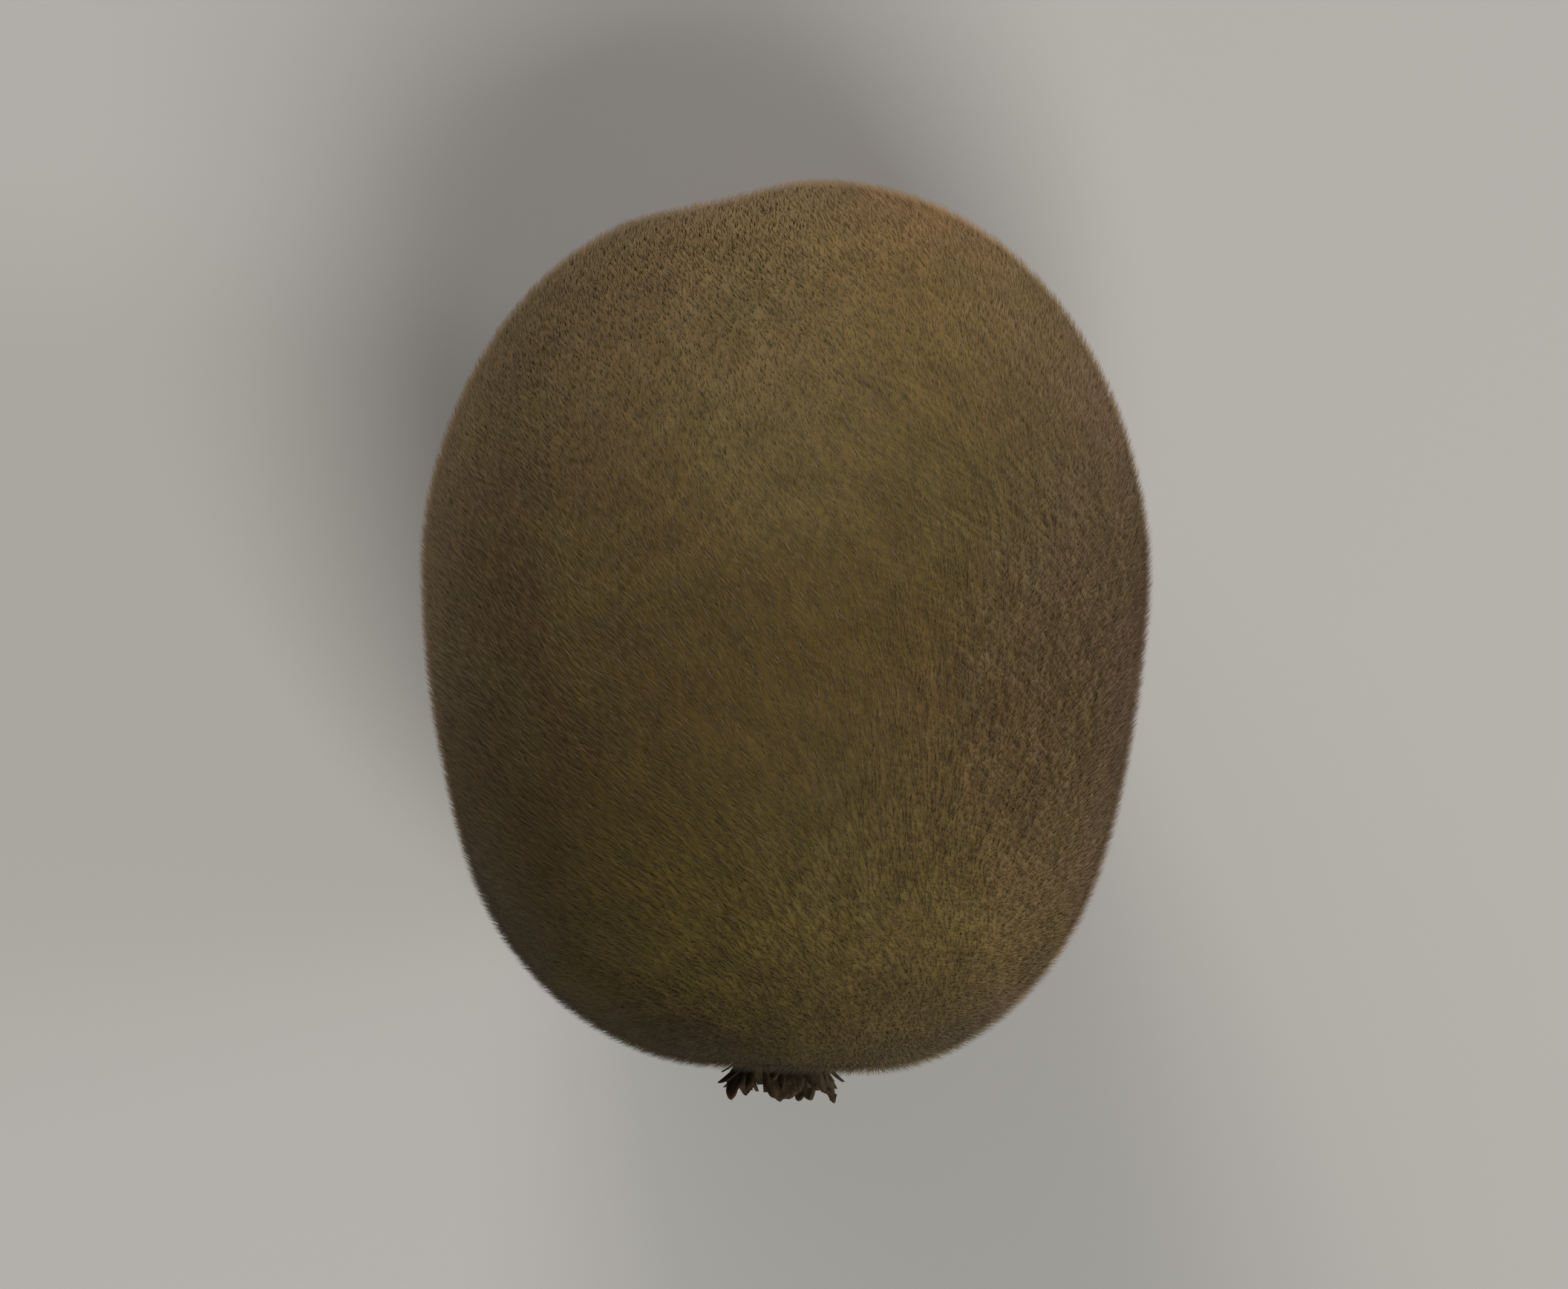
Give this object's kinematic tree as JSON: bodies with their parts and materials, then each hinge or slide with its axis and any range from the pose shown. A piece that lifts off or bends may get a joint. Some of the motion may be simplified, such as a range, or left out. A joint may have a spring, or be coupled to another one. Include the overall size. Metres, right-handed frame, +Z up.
{
  "type": "kiwi fruit",
  "caption": "Whole red kiwifruit lying on its side: an oval, velvety brown fruit with dried sepals round the stalk scar and a sunken blossom end.",
  "frame": {"origin": "bottom centre of the box round the whole fruit, on the surface it lies on", "axes": "+Y from the dried sepals at the stem end to the blossom end, +X across the broad side, +Z up from the resting spot"},
  "size_m": [0.0476, 0.0606, 0.0458],
  "materials": {
    "skin": "matt brown skin under short velvety fuzz",
    "cork": "dry, corky and matt",
    "dried_leaf": "dry, papery and matt",
    "dried_style": "dry, wiry and matt"
  },
  "bodies": {
    "root": {"fruit": "skin", "stalk_scar": "cork", "sepal_1": "dried_leaf", "sepal_2": "dried_leaf", "sepal_3": "dried_leaf", "sepal_4": "dried_leaf", "sepal_5": "dried_leaf", "style_tuft": "dried_style"}
  },
  "joints": []
}
